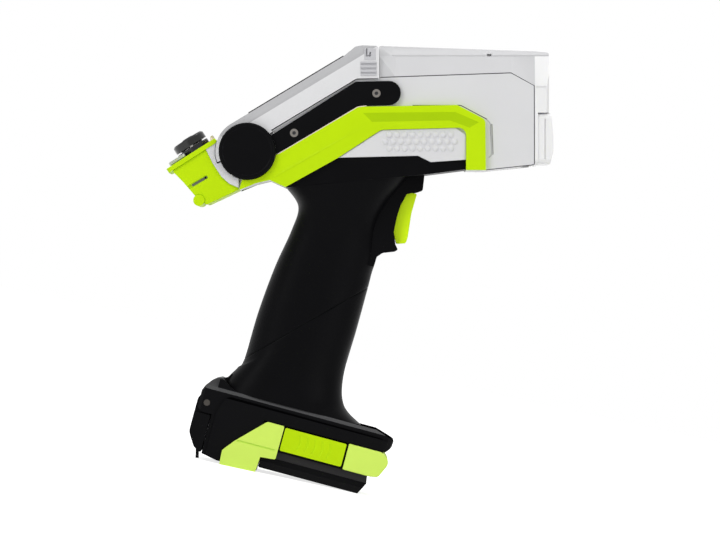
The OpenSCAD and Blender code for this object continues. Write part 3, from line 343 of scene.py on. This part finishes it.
def arc(a, b, c, r, n=6):
    """Points that round corner b between a and c; a third value is carried along."""
    va, vb, vc = (Vector((q[0], q[1])) for q in (a, b, c))
    u, v = (va - vb).normalized(), (vc - vb).normalized()
    half = math.acos(max(-1, min(1, u.dot(v)))) / 2
    o = vb + (u + v).normalized() * r / math.sin(half)
    p0, p1 = vb + u * r / math.tan(half) - o, vb + v * r / math.tan(half) - o
    s = math.atan2(p0.y, p0.x)
    d = (math.atan2(p1.y, p1.x) - s + 3 * math.pi) % (2 * math.pi) - math.pi
    turns = [s + d * i / n for i in range(n + 1)]
    return [(o.x + r * math.cos(t), o.y + r * math.sin(t), *b[2:]) for t in turns]


# ---------------------------------------------------------------- second materials on some faces, painted shade and highlights among them
LID_SLOPE = math.radians(31.0)
LID_UP = Vector((-math.sin(LID_SLOPE), 0, math.cos(LID_SLOPE)))


def by_face(node_name, material_name, m, chosen):
    """Gives faces of a CAD node one more material; chosen(centre, normal) gets both in frame m."""
    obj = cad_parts[node_name]
    obj.data.materials.append(M[material_name])
    slot = len(obj.data.materials) - 1
    back = m.inverted()
    for f in obj.data.polygons:
        at = obj.matrix_world @ f.center
        way = (obj.matrix_world.to_3x3() @ f.normal).normalized()
        if chosen(back @ at, (back.to_3x3() @ way).normalized()):
            f.material_index = slot


def lid_chamfer(q, w):
    return q.dot(LID_UP) > 11.5 and 0.12 < w.dot(LID_UP) < 0.6 and abs(w.y) > 0.75


def slab_band(q, w):
    return 7.8 < q.z < 12.2 and abs(w.y) > 0.6


def hood_top_highlight(q, w):
    return q.x < -54 and q.z > 33 and w.z > 0.1


def ledge(q, w):
    return q.x > -56.2 and q.z > 18 and w.z > 0.15


# Painted shade: the lid's side chamfer faces are coloured grey.
by_face("lid_frame", "band", GUN_M, lid_chamfer)
# Painted highlight: a band of the slab's side faces gets a lighter black.
by_face("battery_case", "slab_band", STAND_M, slab_band)
# The hood's up-facing top gets the lit copy of black with its painted highlight.
by_face("base_housing", "hood", STAND_M, hood_top_highlight)
# Painted shade: the up-facing ledge faces get the darker copy of black.
by_face("base_housing", "ledge", STAND_M, ledge)

# ---------------------------------------------------------------- faceted bumpers
BODY_HALF, BUMPER_TOP, PANEL_OUT, RAIL_OUT = 27.0, 3.0, 1.3, 2.2
SUNK = 0.02
DISC_R = 15.1


def bumper(bm, s):
    """Outline in the body's frame with the height of each point, then one polygon for each facet."""
    turns = [math.radians(g) for g in range(-9, -107, -7)]
    cut = [(DISC_R * math.cos(g), DISC_R * math.sin(g), 3.0) for g in turns]
    t0 = (15.6, -1.6, 3.0)
    t1 = arc((15.6, -1.6), (57.6, 23.1, 3.0), (109.2, 24), 5)
    t2 = arc((57.6, 23.1), (109.2, 24, 3.0), (123.8, 16.4), 3)
    t3 = arc((109.2, 24), (123.8, 16.4, 3.0), (124.1, -9.8), 3)
    foot_r = [(124.1, -9.8, 3.0), (113.8, -9.8, 3.0)]
    l3 = arc((113.8, -9.8), (113.8, 12.3, 2.3), (69.6, 11.1), 4)
    l2 = arc((108.4, 12.3), (69.6, 11.1, 1.9), (47, -3.6), 5)
    l1 = (47, -3.6, 1.8)
    l0 = (19.8, -18.7, 2.2)
    e = (11.7, -15.0, 3.0)
    heel = [(4.5, -16.7, 3.0), (-4.2, -20.2, 3.0)]
    a, b, a0, a1 = (20.2, -8.7, 3.0), (64.9, 15.2, 2.9), (60.2, 19.9, 3.0), (108.1, 20.4, 3.0)
    tip, c, d = (120.5, 15.0, 3.0), (105.5, 16.0, 1.8), (115.6, 12.2, 2.8)
    # The strip facet, material 1, gets the darker lime: painted shade on top of its downward tilt.
    facets = [([t0] + t1[:1] + [a0, b, a, e] + heel + cut[::-1], 0),
              (t1 + t2 + t3 + [tip, a1, a0], 0),
              ([tip] + t3[-1:] + foot_r + l3[:1] + [d], 0),
              ([a0, a1, tip, d, c, b], 1),
              ([c, d] + l3, 0),
              ([b, c] + l3[-1:] + l2, 0),
              ([a, b] + l2[-1:] + [l1, l0, e], 0)]
    seen = {}

    def v(q, low=False):
        k = (round(q[0], 3), round(q[1], 3), low)
        if k not in seen:
            seen[k] = bm.verts.new((q[0], s * (BODY_HALF + (-SUNK if low else q[2])), q[1]))
        return seen[k]
    for pts, mi in facets:
        f = bm.faces.new([v(q) for q in pts])
        f.material_index = mi
    edges = [ed for ed in bm.edges if ed.is_boundary and all(x in seen.values() for x in ed.verts)]
    inv = {x: k for k, x in seen.items()}
    for ed in edges:
        p0, p1 = ed.verts
        q0, q1 = ((inv[x][0], inv[x][1]) for x in (p0, p1))
        bm.faces.new([p0, p1, v((*q1, 0), True), v((*q0, 0), True)])


bm = bmesh.new()
for s in (-1, 1):
    bumper(bm, s)
bmesh.ops.triangulate(bm, faces=[f for f in bm.faces if len(f.verts) > 4])
bm.normal_update()
piece("bumper_skins", bm, [M["lime"], M["lime_painted_shade"]], "housing",
      replaces=("side_bumpers",), bevel=0.3, angle=30, smooth=12)

# ---------------------------------------------------------------- dimpled finger panels
# Corners, with a radius where they are round.
PANEL = [(48.2, -3.2), (69.8, 10.8, 5), (108.3, 12, 3), (113.6, 8.5, 2), (113.6, -4.4), (95.5, -5.5),
         (88.8, -2.2)]
DOME_R, DOME_H, DOME_STEPS, DOME_SIDES = 1.66, 0.85, 6, 24
DOME_AT, DOME_PITCH, DOME_ROW = (89.9, 8.6), 4.0, 3.6


def outline(pts, n=6):
    out = []
    for i, q in enumerate(pts):
        out += arc(pts[i - 1], q[:2], pts[(i + 1) % len(pts)], q[2], n) if len(q) > 2 else [q]
    return [(q[0], q[1]) for q in out]


bm = bmesh.new()
for s in (-1, 1):
    pts = outline(PANEL)
    low = [bm.verts.new((x, s * (BODY_HALF - SUNK), z)) for x, z in pts]
    top = [bm.verts.new((x, s * (BODY_HALF + PANEL_OUT), z)) for x, z in pts]
    bm.faces.new(top)
    for i in range(len(pts)):
        j = (i + 1) % len(pts)
        bm.faces.new([low[i], low[j], top[j], top[i]])
bmesh.ops.triangulate(bm, faces=[f for f in bm.faces if len(f.verts) > 4])
piece("finger_pads", bm, [M["white"]], "housing",
      replaces=("finger_panels",), bevel=0.25, angle=40, smooth=30)
bm = bmesh.new()
for s in (-1, 1):
    for row in range(3):
        count = 10 if row == 1 else 9
        for i in range(count):
            cx, cz = DOME_AT[0] + (i - (count - 1) / 2) * DOME_PITCH, DOME_AT[1] - row * DOME_ROW
            rings = []
            for k in range(DOME_STEPS):
                f = k / DOME_STEPS
                r, h = DOME_R * math.cos(f * math.pi / 2), DOME_H * math.sin(f * math.pi / 2) - 0.03
                y = s * (BODY_HALF + PANEL_OUT + h)
                turns = [g * math.pi * 2 / DOME_SIDES for g in range(DOME_SIDES)]
                rings.append([bm.verts.new((cx + r * math.cos(t), y, cz + r * math.sin(t))) for t in turns])
            peak = bm.verts.new((cx, s * (BODY_HALF + PANEL_OUT + DOME_H - 0.03), cz))
            for low, top in zip(rings, rings[1:] + [None]):
                for g in range(DOME_SIDES):
                    h = (g + 1) % DOME_SIDES
                    bm.faces.new([low[g], low[h], top[h], top[g]] if top else [low[g], low[h], peak])
piece("finger_dimples", bm, [M["white"]], "housing", smooth=80)

# ---------------------------------------------------------------- seams, with painted shade and highlights in creases, slots and sockets
def ribbon(bm, pts, width, y):
    """A flat strip of one width along a line, facing sideways."""
    left, right = [], []
    for i, q in enumerate(pts):
        a, b = Vector(pts[max(i - 1, 0)]), Vector(pts[min(i + 1, len(pts) - 1)])
        d = (b - a).normalized() * width / 2
        left.append(bm.verts.new((q[0] - d.y, y, q[1] + d.x)))
        right.append(bm.verts.new((q[0] + d.y, y, q[1] - d.x)))
    for i in range(len(pts) - 1):
        bm.faces.new([left[i], right[i], right[i + 1], left[i + 1]])


def disc(bm, at, r, y, n=24):
    turns = [2 * math.pi * i / n for i in range(n)]
    bm.faces.new([bm.verts.new((at[0] + r * math.cos(t), y, at[1] + r * math.sin(t))) for t in turns])


SKIN = BODY_HALF + 0.03
LID_HALF, LID_TOP, GLASS_RISE, GLASS_IN = 29.0, 16.6, 0.4, 1.36
GLASS_MID = LID_TOP + GLASS_RISE / 2 - 0.12
CL, SL = math.cos(LID_SLOPE), math.sin(LID_SLOPE)
GLASS_EDGE = [(t * CL - GLASS_MID * SL, t * SL + GLASS_MID * CL) for t in (10.8, 68.4)]
# Piece, material, body, slot, height from the middle, and each strip's width and points.
LINES = [
    ("shell_seams", "seam", "housing", "grey_plastic", SKIN, [
        (0.42, [(69.2, 38.4), (137.3, 40.75), (149.3, 34.1), (149.4, -6.6), (147.6, -7.2), (124.3, -9.7)]),
        (0.42, [(86, 23.85), (111.1, 23.85), (124.6, 16.7)])]),
    # Painted shadow: a grey line where the shell creases beside the bumper's end.
    ("crease_shadow_lines", "band", "housing", "grey_plastic", SKIN, [
        (0.62, [(124.2, 16.9), (126.0, 15.0), (126.9, 13.0), (127.1, 11), (127.1, -0.8), (126.8, -2.3),
                (125.6, -3.3)])]),
    # Painted highlight: a thin beige strip where the rail's lower edge catches light.
    ("rail_edge_highlights", "edge_highlight_beige", "housing", "white_plastic", BODY_HALF + BUMPER_TOP + 0.02, [
        (0.4, [(16.0, -1.5), (57.4, 22.95), (62, 23.6)])]),
    ("glass_edge_lines", "satin_black", "display", "gloss_black", LID_HALF - GLASS_IN, [
        (GLASS_RISE + 0.2, GLASS_EDGE)]),
]
for name, look, body, slot, out, strips in LINES:
    bm = bmesh.new()
    for s in (-1, 1):
        for width, pts in strips:
            ribbon(bm, pts, width, s * out)
    piece(name, bm, [M[look]], body, smooth=0)

# Painted shade: a dark strip and end disc on the floor of the strap slot.
STRAP_TURN, STRAP_AT, STRAP_W, STRAP_IN = math.radians(30.7), (-20.6, -13.1), 1.8, 1.35
STRAP_RUN = [(STRAP_AT[0] + t * math.cos(STRAP_TURN), STRAP_AT[1] + t * math.sin(STRAP_TURN))
             for t in (-9.4, -0.9)]
bm = bmesh.new()
for s in (-1, 1):
    ribbon(bm, STRAP_RUN, STRAP_W, s * (BODY_HALF - STRAP_IN))
    disc(bm, STRAP_RUN[1], STRAP_W / 2, s * (BODY_HALF - STRAP_IN))
piece("strap_slot_shades", bm, [M["slot"]], "housing", smooth=0)

# Painted shade: dark discs sunk into the rail screws' sockets.
SCREWS, SOCKET_R, SOCKET_IN = ((24.4, 9.5), (67.2, 30.1)), 1.05, 1.05
bm = bmesh.new()
for s in (-1, 1):
    for at in SCREWS:
        disc(bm, at, SOCKET_R, s * (BODY_HALF + RAIL_OUT - SOCKET_IN), 6)
piece("screw_socket_shades", bm, [M["seam"]], "housing", smooth=0)

# ---------------------------------------------------------------- grip skins
# Stations from the body down: rear x and z, front x and z, half width, and how full the corners are.
GRIP = [(-50.6, 146, 9.5, 168.3, 26.9, 4.2), (-42.2, 138.2, 3.2, 153, 23, 3.1),
        (-42.5, 125, 1.4, 139.5, 20.4, 2.6),
        (-45.9, 104.6, 4.2, 124.5, 19.7, 2.5), (-48.2, 79.5, 4, 114, 19.8, 2.5),
        (-48.9, 53.9, 4.1, 106.8, 20.3, 2.5),
        (-51.1, 48.6, 4, 84, 20.7, 2.6), (-53.9, 43.8, 3.7, 58.5, 21.7, 2.7), (-55, 40.6, 8, 43.7, 22.8, 2.9),
        (-56, 36.3, 19, 36.3, 23.6, 3.2)]
PARTING, EGG = 5, 0.09


def station(i):
    """The grip's section at a fractional station, on a smooth curve through the table."""
    k = min(int(i), len(GRIP) - 2)
    u = i - k
    a, b, c, d = (GRIP[max(k - 1, 0)], GRIP[k], GRIP[k + 1], GRIP[min(k + 2, len(GRIP) - 1)])
    return [b[j] + (c[j] - a[j]) * u / 2 + (2 * a[j] - 5 * b[j] + 4 * c[j] - d[j]) * u * u / 2
            + (3 * b[j] - a[j] - 3 * c[j] + d[j]) * u ** 3 / 2 for j in range(6)]


def grip_ring(bm, i, inset=0.0, n=144):
    q = station(i)
    rear, front = Vector((q[0], q[1])), Vector((q[2], q[3]))
    mid, along, reach = (rear + front) / 2, (front - rear).normalized(), (front - rear).length / 2 - inset
    out = []
    for j in range(n):
        w = 2 * math.pi * j / n
        ca, sa = math.cos(w), math.sin(w)
        cp = math.copysign(abs(ca) ** (2 / q[5]), ca)
        sp = math.copysign(abs(sa) ** (2 / q[5]), sa)
        y = (q[4] - inset) * sp * (1 - EGG * ca)
        out.append(bm.verts.new((mid.x + reach * cp * along.x, y, mid.y + reach * cp * along.y)))
    return out


def grip_skin(name, stops, node_name):
    bm = bmesh.new()
    rings = [grip_ring(bm, i, inset) for i, inset in stops]
    for r0, r1 in zip(rings, rings[1:]):
        for j in range(len(r0)):
            h = (j + 1) % len(r0)
            bm.faces.new([r0[j], r0[h], r1[h], r1[j]])
    return piece(name, bm, [M["grip"]], "housing", m=STAND_M, replaces=(node_name,), smooth=60)


# The fillet between the hood, the grip's heel and the ledge: half width and side outline of its two steps.
FILLET = [
    (22.2, [(-58, 35), (-58, 41), (-56.4, 41.2), (-54.6, 40.2), (-52.4, 38.4), (-49, 36.9), (-45, 36.1),
            (-45, 35)]),
    (10.0, [(-58.4, 38), (-58.4, 41.2), (-56.6, 41.5), (-55.2, 42), (-54.2, 43.2), (-53.2, 44.6), (-52, 44.6),
            (-52, 38)]),
]
bm = bmesh.new()
for half, side in FILLET:
    left = [bm.verts.new((x, -half, z)) for x, z in side]
    right = [bm.verts.new((x, half, z)) for x, z in side]
    bm.faces.new(left)
    bm.faces.new(right[::-1])
    for i in range(len(side)):
        j = (i + 1) % len(side)
        bm.faces.new([left[i], left[j], right[j], right[i]])
piece("hood_fillet", bm, [M["black"]], "housing", m=STAND_M, smooth=35)

# Station and inset of each ring; the parting is a groove where both skins turn in.
STEP = 10
upper = [(k / STEP, 0.0) for k in range(0, PARTING * STEP)]
upper += [(4.985, 0.0), (4.992, 0.06), (4.996, 0.25), (5.0, 0.9)]
lower = [(5.0, 0.9), (5.004, 0.25), (5.008, 0.06), (5.015, 0.0)]
lower += [(5 + k / STEP, 0.0) for k in range(1, 4 * STEP + 1)]
grip_skin("grip_upper_skin", upper, "handle_upper")
grip_skin("grip_lower_skin", lower, "handle_lower")

# ---------------------------------------------------------------- floor, world, lamps
FLOOR_HALF, FLOOR_GREY, FLOOR_GLOW = 4, 0.82, 0.75
WORLD_LIGHT, WORLD_SEEN = 0.5, 1.0


def seen(nt):
    """1 for the rays that should meet a white background: camera, glossy and transmission rays."""
    lp = node(nt, "ShaderNodeLightPath", -600, 300)
    first = node(nt, "ShaderNodeMath", -400, 300)
    first.operation = "MAXIMUM"
    nt.links.new(lp.outputs["Is Camera Ray"], first.inputs[0])
    nt.links.new(lp.outputs["Is Glossy Ray"], first.inputs[1])
    both = node(nt, "ShaderNodeMath", -200, 300)
    both.operation = "MAXIMUM"
    nt.links.new(first.outputs["Value"], both.inputs[0])
    nt.links.new(lp.outputs["Is Transmission Ray"], both.inputs[1])
    return both.outputs["Value"]


floor_mesh = bpy.data.meshes.new("floor")
corners = [(x * FLOOR_HALF, y * FLOOR_HALF, 0) for x, y in ((-1, -1), (1, -1), (1, 1), (-1, 1))]
floor_mesh.from_pydata(corners, [], [(0, 1, 2, 3)])
floor = bpy.data.objects.new("floor", floor_mesh)
scene.collection.objects.link(floor)
fm = bpy.data.materials.new("seamless_white")
fm.use_nodes = True
nt = fm.node_tree
nt.nodes.clear()
o = node(nt, "ShaderNodeOutputMaterial", 600, 0)
dif = node(nt, "ShaderNodeBsdfDiffuse", 0, 0)
dif.inputs["Color"].default_value = (FLOOR_GREY, FLOOR_GREY, FLOOR_GREY, 1)
glow = node(nt, "ShaderNodeMath", 0, 200)
glow.operation = "MULTIPLY"
glow.inputs[1].default_value = FLOOR_GLOW
nt.links.new(seen(nt), glow.inputs[0])
em = node(nt, "ShaderNodeEmission", 200, 200)
em.inputs["Color"].default_value = (1, 1, 1, 1)
nt.links.new(glow.outputs["Value"], em.inputs["Strength"])
both = node(nt, "ShaderNodeAddShader", 400, 0)
nt.links.new(dif.outputs["BSDF"], both.inputs[0])
nt.links.new(em.outputs["Emission"], both.inputs[1])
nt.links.new(both.outputs["Shader"], o.inputs["Surface"])
floor_mesh.materials.append(fm)

world = bpy.data.worlds.new("studio")
scene.world = world
world.use_nodes = True
nt = world.node_tree
nt.nodes.clear()
o = node(nt, "ShaderNodeOutputWorld", 600, 0)
level = node(nt, "ShaderNodeMapRange", 0, 0)
level.inputs["To Min"].default_value = WORLD_LIGHT
level.inputs["To Max"].default_value = WORLD_SEEN
nt.links.new(seen(nt), level.inputs["Value"])
bg = node(nt, "ShaderNodeBackground", 300, 0)
bg.inputs["Color"].default_value = (1, 1, 1, 1)
nt.links.new(level.outputs["Result"], bg.inputs["Strength"])
nt.links.new(bg.outputs["Background"], o.inputs["Surface"])


def lamp(name, loc, target, size, energy):
    d = bpy.data.lights.new(name, "AREA")
    d.shape = "RECTANGLE"
    d.size, d.size_y = size
    d.energy = energy
    ob = bpy.data.objects.new(name, d)
    scene.collection.objects.link(ob)
    ob.location = loc
    ob.rotation_euler = (Vector(target) - Vector(loc)).to_track_quat("-Z", "Y").to_euler()


lamp("key", (-0.9, -0.9, 0.75), (0, 0, 0.13), (0.5, 0.9), 7.0)
lamp("fill", (0.9, -1.1, 0.5), (0, 0, 0.12), (0.7, 0.7), 4.0)
lamp("top", (0.1, 0.0, 1.3), (0, 0, 0.1), (0.9, 0.9), 7.0)

scene.view_settings.view_transform = "Standard"
scene.view_settings.look = "None"
scene.view_settings.exposure = 0.0
scene.view_settings.gamma = 1.0
